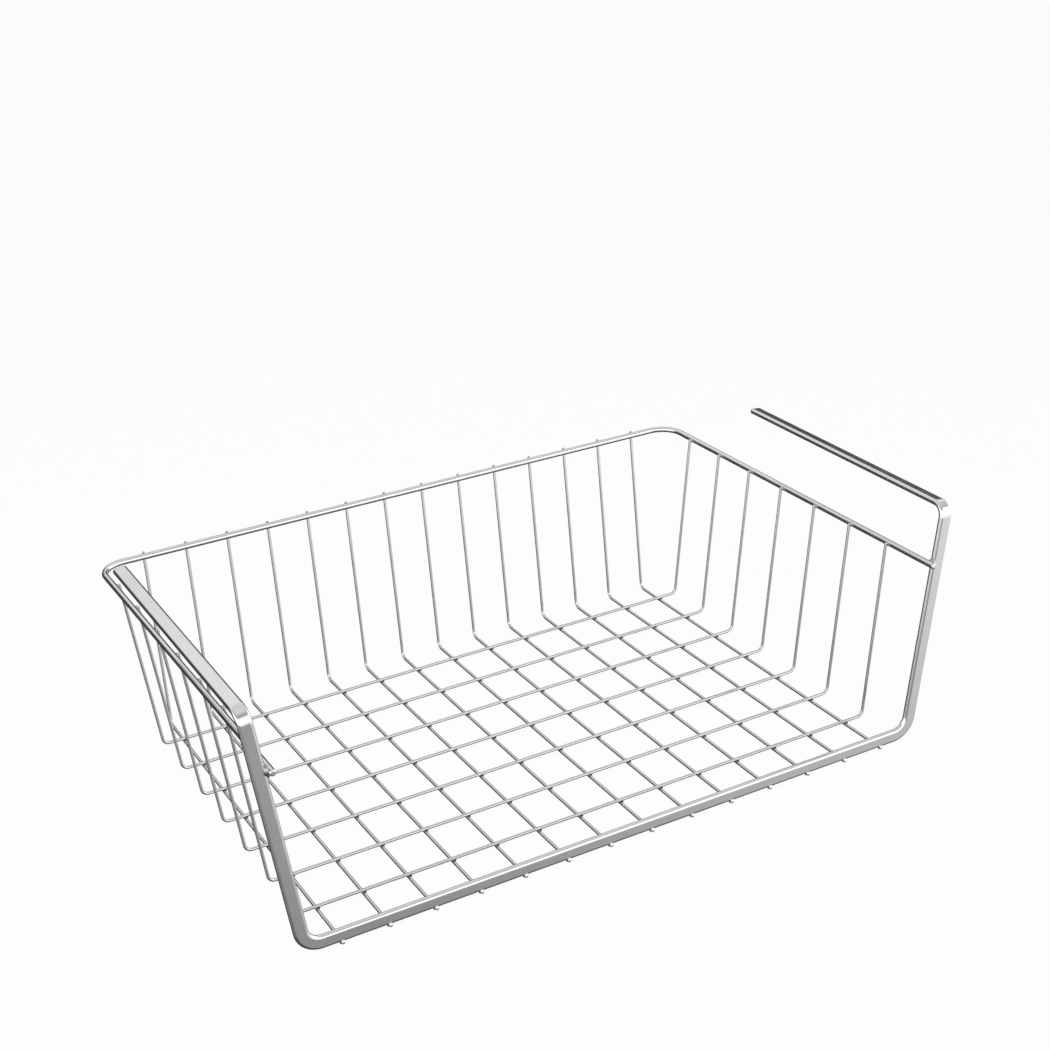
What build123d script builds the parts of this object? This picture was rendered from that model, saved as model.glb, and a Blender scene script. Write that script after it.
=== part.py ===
from build123d import *
from math import asin, atan2, cos, hypot, radians, sin, tan
import os

# Under shelf basket, in millimetres. A flat rounded hanger strap slides over
# a shelf with its two arms and carries a welded basket of round wire.
# +X is to the right, the open front faces -Y, +Z is up. The basket's lowest
# wires lie on z = 0 and the origin is the middle of the box below the part.

# Overall shape
rim_half_width = 189.5     # centre of a side run of the rim from the middle
rim_height = 106.5         # centre of the rim above the floor of the basket
basket_depth = 250.0       # from the strap's centre to the rim's back run
side_wall_draft = 15.0     # how far the floor stops inside each side run
back_wall_draft = 7.2      # how far the floor stops in front of the back run
arm_rise = 31.6            # centre of an arm above the centre of the rim, at the bend
arm_length = 169.0         # from the bar's centre to the tip of an arm
upright_lean = 7.6         # degrees that each upright leans outwards
upright_tilt = 1.3         # degrees that the bar and uprights tilt forwards
arm_climb = 0.65           # degrees that each arm climbs towards its tip

# Stock
strap_width = 7.5
strap_thickness = 3.2
rim_diameter = 3.5
wire_diameter = 1.7

# Bends, measured on the centre line
strap_corner_radius = 10.5
arm_bend_radius = 6.3
rim_corner_radius = 14.0
wire_bend_radius = 4.0

# Mesh
long_wire_count = 14
outer_long_wire = 12.0     # from a side edge of the floor to the nearest long wire
cross_wire_count = 7
first_cross_wire = 29.2    # from the rim's back run to the rearmost cross wire
last_cross_wire = 29.8     # from the bar's centre to the foremost cross wire

# Ends and welds
side_tip_rise = 1.0        # tips of the cross wires above the centre of the rim
back_tip_rise = 1.7        # tips of the long wires above the centre of the rim
front_overhang = 0.7       # wire tips in front of the bar's front face
rim_overhang = 3.2         # rim tips in front of the uprights' front faces
weld_sink = 0.8            # how far the long wires sink into the strap
weld_gap = 0.02            # clearance left between two welded pieces
wire_tip_round = 0.4
rim_tip_round = 0.8
arm_tip_round = 1.4
bead_half_width = 1.9
bead_half_depth = 2.2
bead_half_height = 2.8
bead_setback = 0.9         # centre of a bead behind the upright's front face

# Places that follow from the sizes above
wire_radius = wire_diameter / 2
rim_radius = rim_diameter / 2
strap_half = strap_width / 2
strap_front_y = -strap_thickness / 2
floor_half_width = rim_half_width - side_wall_draft
long_wire_pitch = 2 * (floor_half_width - outer_long_wire) / (long_wire_count - 1)
cross_wire_run = basket_depth - first_cross_wire - last_cross_wire
cross_wire_pitch = cross_wire_run / (cross_wire_count - 1)
long_wire_z = wire_radius
cross_wire_z = wire_diameter + weld_gap + wire_radius
bar_z = wire_diameter - weld_sink + strap_half
arm_z = rim_height + arm_rise
lean = radians(upright_lean)
tilt = radians(upright_tilt)
climb = radians(arm_climb)
upright_x_at_rim = rim_half_width + rim_radius + weld_gap + strap_half / cos(lean)
upright_y_at_rim = -(rim_height - bar_z) * tan(tilt)
bar_end_x = upright_x_at_rim - (rim_height - bar_z) * tan(lean)
arm_x = upright_x_at_rim + arm_rise * tan(lean)
arm_y = -(arm_z - bar_z) * tan(tilt)
arm_reach = arm_length - arm_y
arm_tip_x = arm_x - arm_reach * tan(tilt - climb) * tan(lean)
arm_tip_z = arm_z + arm_reach * tan(climb)


def wall_lean(run, rise, offset):
    """Lean from upright, in radians, of a wire that starts at the floor and
    passes a rim centre that is run outwards and rise up, offset beyond it."""
    return atan2(run, rise) + asin(offset / hypot(run, rise))


def bent_round(points, bend_radius, diameter, tip_round):
    """A round wire along straight runs joined by bends, tips rounded."""
    path = FilletPolyline(*points, radius=bend_radius)
    section = Plane(origin=path @ 0, z_dir=path % 0) * Circle(diameter / 2)
    wire = sweep(section, path=path)
    cut_ends = wire.faces().filter_by(GeomType.PLANE)
    return fillet(cut_ends.edges(), tip_round)


def long_wire(x):
    """One front-to-back wire: under the strap, along the floor, up the back."""
    corner_y = basket_depth - back_wall_draft
    rise = rim_height - long_wire_z
    angle = wall_lean(back_wall_draft, rise, rim_radius + wire_radius + weld_gap)
    top = rise + back_tip_rise
    points = [
        (x, strap_front_y - front_overhang, long_wire_z),
        (x, corner_y, long_wire_z),
        (x, corner_y + top * tan(angle), long_wire_z + top),
    ]
    return bent_round(points, wire_bend_radius, wire_diameter, wire_tip_round)


def cross_wire(y):
    """One crosswise wire: up the left side, across the floor, up the right."""
    rise = rim_height - cross_wire_z
    angle = wall_lean(side_wall_draft, rise, -rim_radius - wire_radius - weld_gap)
    top = rise + side_tip_rise
    top_x = floor_half_width + top * tan(angle)
    points = [
        (-top_x, y, cross_wire_z + top),
        (-floor_half_width, y, cross_wire_z),
        (floor_half_width, y, cross_wire_z),
        (top_x, y, cross_wire_z + top),
    ]
    return bent_round(points, wire_bend_radius, wire_diameter, wire_tip_round)


def rim_wire():
    """The thick wire round both sides and the back, open at the front."""
    tip_y = upright_y_at_rim + strap_front_y - rim_overhang
    points = [
        (-rim_half_width, tip_y, rim_height),
        (-rim_half_width, basket_depth, rim_height),
        (rim_half_width, basket_depth, rim_height),
        (rim_half_width, tip_y, rim_height),
    ]
    return bent_round(points, rim_corner_radius, rim_diameter, rim_tip_round)


def hanger_strap(wire_places):
    """One flat strap with round edges, bent into two arms, two uprights and
    the bar across the front of the floor, seated on the long wires."""
    points = [
        (-arm_tip_x, arm_length, arm_tip_z),
        (-arm_x, arm_y, arm_z),
        (-bar_end_x, 0, bar_z),
        (bar_end_x, 0, bar_z),
        (arm_x, arm_y, arm_z),
        (arm_tip_x, arm_length, arm_tip_z),
    ]
    bends = [arm_bend_radius, strap_corner_radius, strap_corner_radius, arm_bend_radius]
    path = FilletPolyline(*points, radius=bends)
    through = Vector(0, 1, tan(tilt))
    upwards = Vector(-tan(lean), -tan(tilt), 1)
    section = Plane(
        origin=path @ 0, x_dir=through.cross(upwards), z_dir=path % 0
    ) * SlotOverall(strap_width, strap_thickness)
    strap = sweep(section, path=path)
    arm_tips = strap.faces().filter_by(GeomType.PLANE).sort_by(Axis.Y)[-2:]
    strap = fillet(arm_tips.edges(), arm_tip_round)
    seat = extrude(Plane.XZ * Circle(wire_radius + weld_gap), strap_thickness, both=True)
    for x in wire_places:
        strap -= Pos(x, 0, long_wire_z) * seat
    return strap


def rim_weld(side, strap, rim):
    """The bead that joins one end of the rim to the inner edge of an upright,
    cut to the faces of both. side is -1 on the left and 1 on the right."""
    centre = Pos(
        side * (rim_half_width + rim_radius),
        upright_y_at_rim + strap_front_y + bead_setback,
        rim_height,
    )
    blob = scale(Sphere(1), by=(bead_half_width, bead_half_depth, bead_half_height))
    return centre * blob - strap - rim


long_wire_places = [
    (number - (long_wire_count - 1) / 2) * long_wire_pitch for number in range(long_wire_count)
]
cross_wire_places = [
    basket_depth - first_cross_wire - number * cross_wire_pitch
    for number in range(cross_wire_count)
]

nodes = {
    "hanger_strap": hanger_strap(long_wire_places),
    "rim_wire": rim_wire(),
}
for number, x in enumerate(long_wire_places, start=1):
    nodes[f"long_wire_{number:02d}"] = long_wire(x)
for number, y in enumerate(cross_wire_places, start=1):
    nodes[f"cross_wire_{number}"] = cross_wire(y)
nodes["rim_weld_left"] = rim_weld(-1, nodes["hanger_strap"], nodes["rim_wire"])
nodes["rim_weld_right"] = rim_weld(1, nodes["hanger_strap"], nodes["rim_wire"])

# The origin goes to the middle of the box, on the plane that it stands on
box = Compound(list(nodes.values())).bounding_box()
to_origin = Pos(-box.center().X, -box.center().Y, -box.min.Z)
print("box", box.size, "middle", box.center())

os.makedirs("parts", exist_ok=True)
for name, shape in nodes.items():
    export_step(to_origin * shape, f"parts/{name}.step")
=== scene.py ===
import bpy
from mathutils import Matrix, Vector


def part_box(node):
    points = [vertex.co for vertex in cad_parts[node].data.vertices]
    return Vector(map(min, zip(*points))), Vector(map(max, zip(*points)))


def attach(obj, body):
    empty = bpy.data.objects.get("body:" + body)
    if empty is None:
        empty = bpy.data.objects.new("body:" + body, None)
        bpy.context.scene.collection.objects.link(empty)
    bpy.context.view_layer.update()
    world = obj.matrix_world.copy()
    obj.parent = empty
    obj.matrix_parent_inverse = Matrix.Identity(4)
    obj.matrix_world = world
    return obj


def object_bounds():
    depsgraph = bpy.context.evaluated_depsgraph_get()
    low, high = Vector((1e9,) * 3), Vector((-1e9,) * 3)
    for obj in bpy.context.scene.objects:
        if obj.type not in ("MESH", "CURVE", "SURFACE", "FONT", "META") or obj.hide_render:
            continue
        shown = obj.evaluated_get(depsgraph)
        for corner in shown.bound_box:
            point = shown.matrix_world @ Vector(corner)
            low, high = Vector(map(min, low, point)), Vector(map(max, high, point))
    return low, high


bl_info = {
    "name": "Under shelf basket",
    "version": (1, 0, 0),
    "blender": (4, 5, 0),
    "location": "3D View > Sidebar > Basket",
    "description": "Plated finish, weld metal and studio for a wire basket hung under a shelf",
    "category": "Object",
}

from math import radians

import bmesh
import bpy
from bpy.props import FloatProperty, FloatVectorProperty, PointerProperty
from mathutils import Matrix, Vector

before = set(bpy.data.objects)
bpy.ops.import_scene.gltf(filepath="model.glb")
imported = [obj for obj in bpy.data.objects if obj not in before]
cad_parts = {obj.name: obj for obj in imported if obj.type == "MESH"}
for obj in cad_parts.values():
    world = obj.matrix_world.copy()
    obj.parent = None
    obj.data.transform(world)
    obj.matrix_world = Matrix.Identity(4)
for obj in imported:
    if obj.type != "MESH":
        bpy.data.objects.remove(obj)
cad_low, cad_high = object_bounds()

MM = 0.001
LONG_WIRES = sorted(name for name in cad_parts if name.startswith("long_wire"))
CROSS_WIRES = sorted(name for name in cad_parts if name.startswith("cross_wire"))

# A bead of weld metal has few faces, because the basket has over a hundred of them.
BEAD_SEGMENTS = 8
BEAD_RINGS = 5

# Noise values that the plate's gloss runs between, and how finely each noise is broken up.
CLOUD_LOW = 0.3
CLOUD_HIGH = 0.7
CLOUD_DETAIL = 3.0
RIPPLE_DETAIL = 1.0

# The floor's paper, and how much of its shading shows through the even glow that the camera sees.
PAPER_GREY = (0.9, 0.9, 0.9, 1.0)
SHADING_SHARE = 0.07

# What the plate mirrors, as pairs of height (-1 straight down, 1 straight up) and brightness.
# The left front is dark below, mid grey low down and white from there to half way up.
LEFT_FRONT = (
    (-1.0, 0.04), (-0.78, 0.1), (-0.63, 0.33), (-0.55, 0.41), (-0.47, 0.29), (-0.35, 0.31),
    (-0.15, 1.25), (0.1, 1.65), (0.45, 1.65), (0.62, 0.55), (0.8, 0.43), (0.92, 0.75), (1.0, 0.8),
)
# The right front turns white lower down than the left.
RIGHT_FRONT = (
    (-1.0, 0.04), (-0.78, 0.08), (-0.62, 0.3), (-0.59, 0.455), (-0.545, 0.56), (-0.48, 0.75),
    (-0.34, 1.0), (-0.15, 1.25), (0.1, 1.8), (0.48, 1.8), (0.58, 0.45), (0.66, 0.68),
    (0.93, 0.75), (1.0, 0.8),
)
# The back is nearly black to a little above eye level, which draws dark lines along the wires.
BACK = (
    (-1.0, 0.06), (-0.6, 0.01), (-0.36, 0.012), (-0.28, 0.08), (-0.1, 0.1), (0.02, 0.05),
    (0.1, 0.02), (0.22, 0.06), (0.3, 0.25), (0.46, 0.84), (0.55, 0.95), (0.67, 0.8), (1.0, 0.8),
)
# Where along X the left front fades into the right one, and along Y the front into the back.
RIGHT_FROM, RIGHT_TO = 0.23, 0.48
BACK_FROM, BACK_TO = 0.0, 0.66
# The brightness that the camera sees behind the floor's far edge.
BACKDROP_LEVEL = 0.975


def linear(hex_colour):
    """An sRGB hex colour as the linear numbers that the shaders take."""
    parts = [int(hex_colour[i:i + 2], 16) / 255 for i in (1, 3, 5)]
    return tuple(c / 12.92 if c <= 0.04045 else ((c + 0.055) / 1.055) ** 2.4 for c in parts)


def add_node(tree, kind, settings=None, inputs=None):
    """Adds a node, sets its own settings, and fills or links its input sockets."""
    node = tree.nodes.new(kind)
    for name, value in (settings or {}).items():
        setattr(node, name, value)
    for name, value in (inputs or {}).items():
        if isinstance(value, bpy.types.NodeSocket):
            tree.links.new(value, node.inputs[name])
        else:
            node.inputs[name].default_value = value
    return node


def new_material(name):
    """An empty node material."""
    material = bpy.data.materials.new(name)
    material.use_nodes = True
    material.node_tree.nodes.clear()
    return material


def middle(node):
    """The middle of a frame node's box, in metres."""
    low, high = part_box(node)
    return (low + high) / 2


class BasketPlate(bpy.types.PropertyGroup):
    """Colours and gloss of the plated pieces."""

    strap_colour: FloatVectorProperty(
        name="Strap colour", description="Plate on the flattened hanger strap",
        subtype="COLOR", size=3, min=0, max=1, default=linear("#D3D4D6"),
    )
    rim_colour: FloatVectorProperty(
        name="Rim colour", description="Plate on the thick rim wire",
        subtype="COLOR", size=3, min=0, max=1, default=linear("#D3D4D6"),
    )
    wire_colour: FloatVectorProperty(
        name="Wire colour", description="Plate on the thin wires",
        subtype="COLOR", size=3, min=0, max=1, default=linear("#C5C6C8"),
    )
    weld_colour: FloatVectorProperty(
        name="Weld colour", description="Plate over the weld beads and nuggets",
        subtype="COLOR", size=3, min=0, max=1, default=linear("#A9AAAD"),
    )
    # Dark grey of squeezed-out weld scale, also used as painted shade between crossing wires and
    # beside the wire tips under the bar.
    flash_and_shade_colour: FloatVectorProperty(
        name="Flash colour", description="Thin plate over the dark flash beside the welds",
        subtype="COLOR", size=3, min=0, max=1, default=linear("#5F6063"),
    )
    strap_roughness: FloatProperty(
        name="Strap roughness", description="The strap is a little satin",
        min=0, max=1, default=0.14,
    )
    rim_roughness: FloatProperty(
        name="Rim roughness", description="The rim wire is bright",
        min=0, max=1, default=0.13,
    )
    wire_roughness: FloatProperty(
        name="Wire roughness", description="The thin wires are bright, under thinner plate",
        min=0, max=1, default=0.18,
    )
    weld_roughness: FloatProperty(
        name="Weld roughness", description="Welds stay duller under the plate",
        min=0, max=1, default=0.34,
    )


class BasketWelds(bpy.types.PropertyGroup):
    """Sizes of the weld metal where wires meet and at their tips."""

    crossing_radius: FloatProperty(
        name="Crossing flash radius", description="Spread of the metal squeezed out of a crossing",
        unit="LENGTH", default=0.8 * MM,
    )
    crossing_height: FloatProperty(
        name="Crossing flash half height", description="Half the height of that metal",
        unit="LENGTH", default=0.5 * MM,
    )
    crossing_offset: FloatProperty(
        name="Crossing flash offset", description="How far it lies to the right and the front",
        unit="LENGTH", default=0.75 * MM,
    )
    tip_radius: FloatProperty(
        name="Tip dome radius", description="Spread of a long wire's melted tip under the bar",
        unit="LENGTH", default=1.2 * MM,
    )
    tip_depth: FloatProperty(
        name="Tip dome half depth", description="Half the depth of that tip, front to back",
        unit="LENGTH", default=0.8 * MM,
    )
    tip_flash_and_shade_radius: FloatProperty(
        name="Tip flash radius", description="Spread of the dark flash to the left of that tip",
        unit="LENGTH", default=0.7 * MM,
    )
    rim_radius: FloatProperty(
        name="Rim nugget radius", description="Spread of the metal where a wire meets the rim",
        unit="LENGTH", default=1.3 * MM,
    )
    rim_depth: FloatProperty(
        name="Rim nugget half depth", description="Half its depth between wire and rim",
        unit="LENGTH", default=0.6 * MM,
    )


class BasketStudio(bpy.types.PropertyGroup):
    """Camera and light."""

    camera_place: FloatVectorProperty(
        name="Camera place", description="Where the camera stands in the part's frame",
        subtype="TRANSLATION", unit="LENGTH", size=3, default=(-0.41578, -0.79555, 0.52862),
    )
    camera_azimuth: FloatProperty(
        name="Camera azimuth", description="Turn of the view from looking along +Y",
        subtype="ANGLE", default=radians(-28.3167),
    )
    camera_elevation: FloatProperty(
        name="Camera elevation", description="How far the view looks down",
        subtype="ANGLE", default=radians(23.9166),
    )
    camera_roll: FloatProperty(
        name="Camera roll", description="Tilt of the picture",
        subtype="ANGLE", default=radians(-2.5719),
    )
    camera_lens: FloatProperty(
        name="Camera lens", description="Focal length on a 36 mm wide sensor, in millimetres",
        default=62.277,
    )
    fill_level: FloatProperty(
        name="Fill level", description="Strength of the even light from all round",
        default=0.6,
    )
    tent_level: FloatProperty(
        name="Tent level", description="Brightness of the white tent that the plate mirrors",
        default=1.2,
    )
    key_power: FloatProperty(
        name="Key power", description="Power of the large soft lamp above the front",
        unit="POWER", default=10.0,
    )


def plated_steel(name, colour, roughness, cloud_mm, cloud_depth, ripple_mm, ripple_height_mm):
    """Bright nickel-chrome plate. Buffing leaves faint clouds of duller plate, and the steel
    below keeps a slight ripple from rolling or drawing, so reflections waver a little. A
    finish that is already made is used again."""
    if name in bpy.data.materials:
        return bpy.data.materials[name]
    material = new_material(name)
    tree = material.node_tree
    place = add_node(tree, "ShaderNodeTexCoord").outputs["Object"]
    clouds = add_node(
        tree, "ShaderNodeTexNoise",
        inputs={"Vector": place, "Scale": 1 / (cloud_mm * MM), "Detail": CLOUD_DETAIL},
    )
    gloss = add_node(
        tree, "ShaderNodeMapRange",
        inputs={
            "Value": clouds.outputs["Fac"],
            "From Min": CLOUD_LOW, "From Max": CLOUD_HIGH,
            "To Min": roughness - cloud_depth, "To Max": roughness + cloud_depth,
        },
    )
    ripple = add_node(
        tree, "ShaderNodeTexNoise",
        inputs={"Vector": place, "Scale": 1 / (ripple_mm * MM), "Detail": RIPPLE_DETAIL},
    )
    bump = add_node(
        tree, "ShaderNodeBump",
        inputs={
            "Height": ripple.outputs["Fac"], "Distance": ripple_height_mm * MM, "Strength": 1.0,
        },
    )
    shader = add_node(
        tree, "ShaderNodeBsdfPrincipled",
        inputs={
            "Base Color": (*colour, 1.0),
            "Metallic": 1.0,
            "Roughness": gloss.outputs["Result"],
            "Normal": bump.outputs["Normal"],
        },
    )
    add_node(tree, "ShaderNodeOutputMaterial", inputs={"Surface": shader.outputs["BSDF"]})
    return material


def strap_plate():
    """Nickel-chrome plate on flattened strip: a little satin, with broad calm reflections."""
    plate = bpy.context.scene.basket_plate
    return plated_steel(
        "nickel_chrome_plated_strip", plate.strap_colour, plate.strap_roughness,
        cloud_mm=14.0, cloud_depth=0.03, ripple_mm=9.0, ripple_height_mm=0.05,
    )


def rim_plate():
    """Nickel-chrome plate on thick drawn wire: bright, with reflections that waver along it."""
    plate = bpy.context.scene.basket_plate
    return plated_steel(
        "nickel_chrome_plated_rim_wire", plate.rim_colour, plate.rim_roughness,
        cloud_mm=10.0, cloud_depth=0.03, ripple_mm=7.0, ripple_height_mm=0.05,
    )


def wire_plate():
    """Nickel-chrome plate on thin drawn wire: a little greyer, since the plate is thinner."""
    plate = bpy.context.scene.basket_plate
    return plated_steel(
        "nickel_chrome_plated_thin_wire", plate.wire_colour, plate.wire_roughness,
        cloud_mm=8.0, cloud_depth=0.04, ripple_mm=5.0, ripple_height_mm=0.04,
    )


def weld_plate():
    """Plate over a weld: the lumpy, scaled surface of the weld shows through as a duller grey."""
    plate = bpy.context.scene.basket_plate
    return plated_steel(
        "nickel_chrome_plated_weld", plate.weld_colour, plate.weld_roughness,
        cloud_mm=1.0, cloud_depth=0.1, ripple_mm=0.6, ripple_height_mm=0.08,
    )


def flash_and_shade_plate():
    """Thin plate over the scale that is squeezed out of a weld: dark and dull, and also painted
    shade where the wires cross and beside the tips under the bar.
    """
    plate = bpy.context.scene.basket_plate
    return plated_steel(
        "nickel_chrome_plated_flash_and_painted_shade", plate.flash_and_shade_colour, plate.weld_roughness,
        cloud_mm=1.0, cloud_depth=0.1, ripple_mm=0.6, ripple_height_mm=0.08,
    )


def dress(names, material):
    """Gives the frame's own pieces a finish in their material slots."""
    for name in names:
        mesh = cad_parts[name].data
        if not mesh.materials:
            mesh.materials.append(material)
        for index in range(len(mesh.materials)):
            mesh.materials[index] = material


def nuggets(name, places, half_sizes, material):
    """One piece made of a small squashed bead at each place."""
    shape = bmesh.new()
    for place in places:
        made = bmesh.ops.create_uvsphere(
            shape, u_segments=BEAD_SEGMENTS, v_segments=BEAD_RINGS, radius=1.0,
            matrix=Matrix.Translation(place) @ Matrix.Diagonal((*half_sizes, 1.0)),
        )
        for vertex in made["verts"]:
            for face in vertex.link_faces:
                face.smooth = True
    mesh = bpy.data.meshes.new(name)
    shape.to_mesh(mesh)
    shape.free()
    mesh.materials.append(material)
    piece = bpy.data.objects.new(name, mesh)
    bpy.context.scene.collection.objects.link(piece)
    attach(piece, "root")


class BASKET_OT_strap(bpy.types.Operator):
    """Finishes the hanger strap"""

    bl_idname = "basket.strap"
    bl_label = "Hanger strap"

    def execute(self, context):
        dress(["hanger_strap"], strap_plate())
        return {"FINISHED"}


class BASKET_OT_rim(bpy.types.Operator):
    """Finishes the thick rim wire"""

    bl_idname = "basket.rim"
    bl_label = "Rim wire"

    def execute(self, context):
        dress(["rim_wire"], rim_plate())
        return {"FINISHED"}


class BASKET_OT_mesh_wires(bpy.types.Operator):
    """Finishes the thin wires of the floor and walls"""

    bl_idname = "basket.mesh_wires"
    bl_label = "Mesh wires"

    def execute(self, context):
        dress(LONG_WIRES + CROSS_WIRES, wire_plate())
        return {"FINISHED"}


class BASKET_OT_welds(bpy.types.Operator):
    """Finishes the rim's end welds, and adds weld metal where wires meet and at their tips"""

    bl_idname = "basket.welds"
    bl_label = "Welds"

    def execute(self, context):
        sizes = context.scene.basket_welds
        weld = weld_plate()
        flash_and_shade = flash_and_shade_plate()
        dress(["rim_weld_left", "rim_weld_right"], weld)

        columns = [middle(name).x for name in LONG_WIRES]
        rows = [middle(name).y for name in CROSS_WIRES]
        wire_low, wire_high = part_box(LONG_WIRES[0])
        wire_diameter = wire_high.x - wire_low.x
        rim_low, rim_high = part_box("rim_wire")
        rim_diameter = rim_high.z - rim_low.z
        rim_z = middle("rim_wire").z

        # Each crossing gets a dark bead to its right and front: a little weld scale, and painted
        # shade between the crossing wires.
        aside = sizes.crossing_offset
        nuggets(
            "crossing_nuggets_and_painted_shade",
            [(x + aside, y - aside, wire_diameter) for x in columns for y in rows],
            (sizes.crossing_radius, sizes.crossing_radius, sizes.crossing_height), flash_and_shade,
        )
        # The melted tips are as bright as the rim. The dark bead left of each is a little weld
        # scale and painted shade beside the tip and under the bar.
        tip_y = wire_low.y + sizes.tip_depth
        nuggets(
            "front_tip_domes", [(x, tip_y, sizes.tip_radius) for x in columns],
            (sizes.tip_radius, sizes.tip_depth, sizes.tip_radius), rim_plate(),
        )
        nuggets(
            "front_tip_flash_and_painted_shade", [(x - sizes.tip_radius, tip_y, sizes.tip_radius) for x in columns],
            (sizes.tip_flash_and_shade_radius,) * 3, flash_and_shade,
        )
        nuggets(
            "back_rim_nuggets", [(x, rim_high.y, rim_z) for x in columns],
            (sizes.rim_radius, sizes.rim_depth, sizes.rim_radius), weld,
        )
        inner_x = rim_high.x - rim_diameter
        nuggets(
            "side_rim_nuggets", [(side * inner_x, y, rim_z) for side in (-1, 1) for y in rows],
            (sizes.rim_depth, sizes.rim_radius, sizes.rim_radius), weld,
        )
        return {"FINISHED"}


def floor_finish():
    """A pale matt floor. The camera sees it as almost white, with the part's faint soft shadow."""
    material = new_material("pale_studio_floor")
    tree = material.node_tree
    rays = add_node(tree, "ShaderNodeLightPath")
    paper = add_node(tree, "ShaderNodeBsdfDiffuse", inputs={"Color": PAPER_GREY})
    glow = add_node(tree, "ShaderNodeEmission", inputs={"Strength": 1.0})
    pale = add_node(
        tree, "ShaderNodeMixShader",
        inputs={0: SHADING_SHARE, 1: glow.outputs["Emission"], 2: paper.outputs["BSDF"]},
    )
    result = add_node(
        tree, "ShaderNodeMixShader",
        inputs={
            0: rays.outputs["Is Camera Ray"],
            1: paper.outputs["BSDF"], 2: pale.outputs["Shader"],
        },
    )
    add_node(tree, "ShaderNodeOutputMaterial", inputs={"Surface": result.outputs["Shader"]})
    return material


def height_ramp(tree, height, stops):
    """Brightness by height of the direction. The first stop is straight down, the last one
    straight up."""
    share = add_node(
        tree, "ShaderNodeMapRange",
        inputs={"Value": height, "From Min": -1.0, "From Max": 1.0, "To Min": 0.0, "To Max": 1.0},
    )
    ramp = add_node(tree, "ShaderNodeValToRGB", inputs={"Fac": share.outputs["Result"]})
    elements = ramp.color_ramp.elements
    for stop_height, _ in stops[1:-1]:
        elements.new((stop_height + 1) / 2)
    for (_, level), element in zip(stops, elements):
        element.color = (level, level, level, 1.0)
    return ramp.outputs["Color"]


def fade(tree, value, start, end):
    """A share that eases from 0 to 1 as the value goes from start to end."""
    share = add_node(
        tree, "ShaderNodeMapRange", {"interpolation_type": "SMOOTHSTEP"},
        {"Value": value, "From Min": start, "From Max": end, "To Min": 0.0, "To Max": 1.0},
    )
    return share.outputs["Result"]


def blend(tree, share, first, second):
    """A number that goes from the first to the second as the share goes from 0 to 1."""
    mix = add_node(tree, "ShaderNodeMix", {"data_type": "FLOAT"}, {0: share, 2: first, 3: second})
    return mix.outputs[0]


def surround(fill_level, tent_level):
    """Even white light from all round, and a white backdrop for the camera. Shiny metal
    mirrors a tent instead: two fronts with a white band in each, greyer overhead and dark
    low down, and a back that is pale above and dark below."""
    world = bpy.data.worlds.new("studio_surround")
    world.use_nodes = True
    tree = world.node_tree
    tree.nodes.clear()
    rays = add_node(tree, "ShaderNodeLightPath")
    direction = add_node(tree, "ShaderNodeTexCoord").outputs["Generated"]
    axes = add_node(tree, "ShaderNodeSeparateXYZ", inputs={"Vector": direction})
    left = height_ramp(tree, axes.outputs["Z"], LEFT_FRONT)
    right = height_ramp(tree, axes.outputs["Z"], RIGHT_FRONT)
    back = height_ramp(tree, axes.outputs["Z"], BACK)
    rightness = fade(tree, axes.outputs["X"], RIGHT_FROM, RIGHT_TO)
    backness = fade(tree, axes.outputs["Y"], BACK_FROM, BACK_TO)
    walls = blend(tree, backness, blend(tree, rightness, left, right), back)
    tent = add_node(
        tree, "ShaderNodeMath", {"operation": "MULTIPLY"}, {0: walls, 1: tent_level},
    )
    fill = blend(tree, rays.outputs["Is Camera Ray"], fill_level, BACKDROP_LEVEL)
    strength = blend(tree, rays.outputs["Is Glossy Ray"], fill, tent.outputs["Value"])
    background = add_node(
        tree, "ShaderNodeBackground",
        inputs={"Color": (1.0, 1.0, 1.0, 1.0), "Strength": strength},
    )
    add_node(tree, "ShaderNodeOutputWorld", inputs={"Surface": background.outputs["Background"]})
    return world


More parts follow.
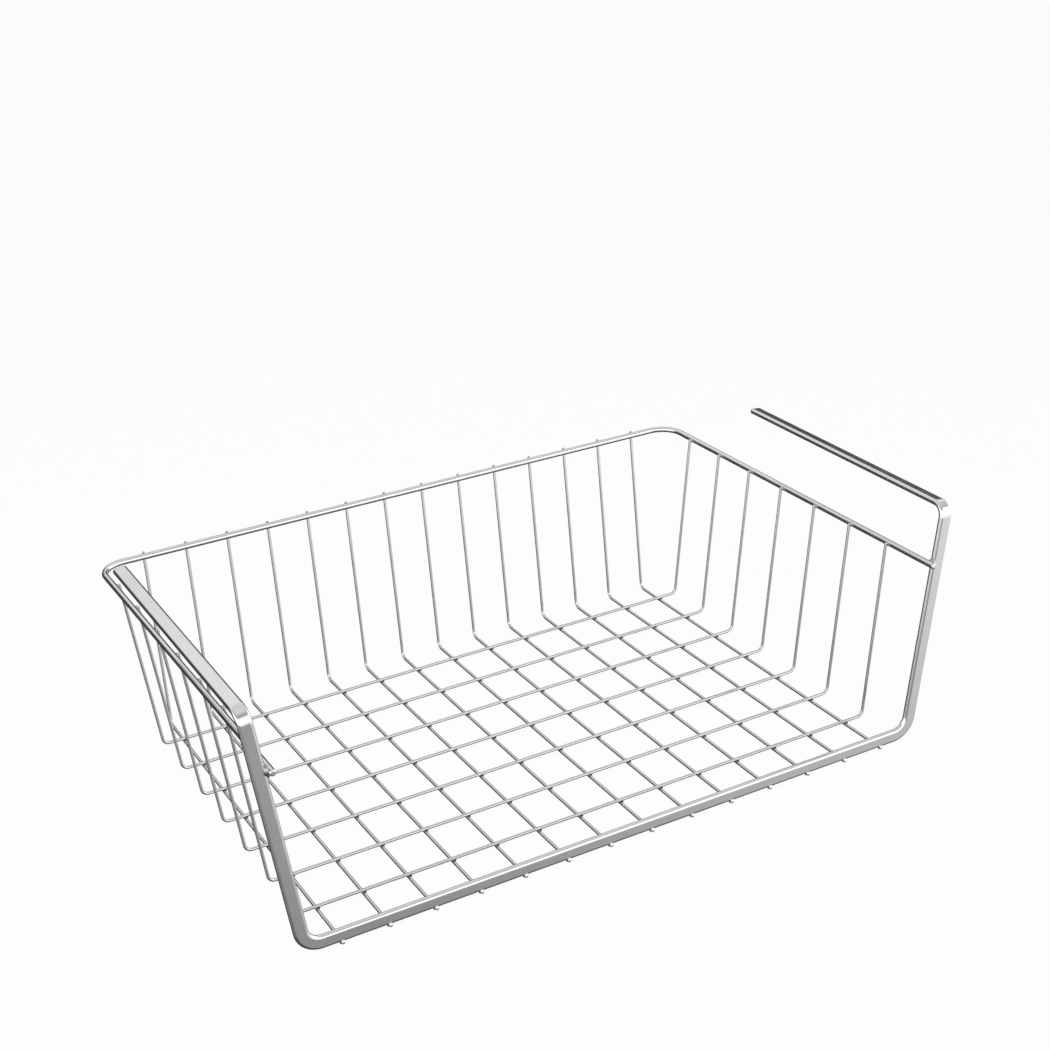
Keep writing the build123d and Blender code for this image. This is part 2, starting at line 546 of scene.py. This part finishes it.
class BASKET_OT_stage(bpy.types.Operator):
    """Sets the floor, the light and the camera"""

    bl_idname = "basket.stage"
    bl_label = "Stage"

    floor_half_width = 6.0
    floor_drop = 0.2 * MM
    key_place = Vector((-0.55, -0.9, 1.3))
    key_aim = Vector((0.0, 0.0, 0.05))
    key_side = 1.1
    sensor_width_mm = 36.0
    nearest_seen = 0.05
    farthest_seen = 30.0

    def execute(self, context):
        scene = context.scene
        studio = scene.basket_studio
        scene.view_settings.view_transform = "Standard"

        shape = bmesh.new()
        bmesh.ops.create_grid(
            shape, x_segments=1, y_segments=1, size=self.floor_half_width,
            matrix=Matrix.Translation((0.0, 0.0, cad_low.z - self.floor_drop)),
        )
        mesh = bpy.data.meshes.new("studio_floor")
        shape.to_mesh(mesh)
        shape.free()
        mesh.materials.append(floor_finish())
        floor = bpy.data.objects.new("studio_floor", mesh)
        scene.collection.objects.link(floor)
        floor.visible_glossy = False

        scene.world = surround(studio.fill_level, studio.tent_level)

        lamp = bpy.data.lights.new("key_softbox", "AREA")
        lamp.shape = "SQUARE"
        lamp.size = self.key_side
        lamp.energy = studio.key_power
        key = bpy.data.objects.new("key_softbox", lamp)
        key.location = self.key_place
        key.rotation_euler = (self.key_aim - self.key_place).to_track_quat("-Z", "Y").to_euler()
        key.visible_glossy = False
        scene.collection.objects.link(key)

        lens = bpy.data.cameras.new("photo_camera")
        lens.sensor_fit = "HORIZONTAL"
        lens.sensor_width = self.sensor_width_mm
        lens.lens = studio.camera_lens
        lens.clip_start = self.nearest_seen
        lens.clip_end = self.farthest_seen
        camera = bpy.data.objects.new("photo_camera", lens)
        turn = Matrix.Rotation(studio.camera_azimuth, 4, "Z")
        tilt = Matrix.Rotation(radians(90) - studio.camera_elevation, 4, "X")
        roll = Matrix.Rotation(studio.camera_roll, 4, "Z")
        camera.matrix_world = Matrix.Translation(studio.camera_place) @ turn @ tilt @ roll
        scene.collection.objects.link(camera)
        scene.camera = camera
        return {"FINISHED"}


class BASKET_PT_sidebar(bpy.types.Panel):
    """Lists the pieces and their settings in the 3D view's sidebar"""

    bl_idname = "BASKET_PT_sidebar"
    bl_label = "Under shelf basket"
    bl_space_type = "VIEW_3D"
    bl_region_type = "UI"
    bl_category = "Basket"

    def draw(self, context):
        layout = self.layout
        scene = context.scene
        for operator in OPERATORS:
            layout.operator(operator.bl_idname)
        for group in (scene.basket_plate, scene.basket_welds, scene.basket_studio):
            box = layout.box()
            for setting in group.__annotations__:
                box.prop(group, setting)


OPERATORS = (
    BASKET_OT_strap, BASKET_OT_rim, BASKET_OT_mesh_wires, BASKET_OT_welds, BASKET_OT_stage,
)
CLASSES = (BasketPlate, BasketWelds, BasketStudio) + OPERATORS + (BASKET_PT_sidebar,)


def register():
    for cls in CLASSES:
        bpy.utils.register_class(cls)
    bpy.types.Scene.basket_plate = PointerProperty(type=BasketPlate)
    bpy.types.Scene.basket_welds = PointerProperty(type=BasketWelds)
    bpy.types.Scene.basket_studio = PointerProperty(type=BasketStudio)


def unregister():
    del bpy.types.Scene.basket_studio
    del bpy.types.Scene.basket_welds
    del bpy.types.Scene.basket_plate
    for cls in reversed(CLASSES):
        bpy.utils.unregister_class(cls)


def main():
    """Makes every piece and the stage."""
    register()
    bpy.ops.basket.strap()
    bpy.ops.basket.rim()
    bpy.ops.basket.mesh_wires()
    bpy.ops.basket.welds()
    bpy.ops.basket.stage()


if __name__ == "__main__":
    main()
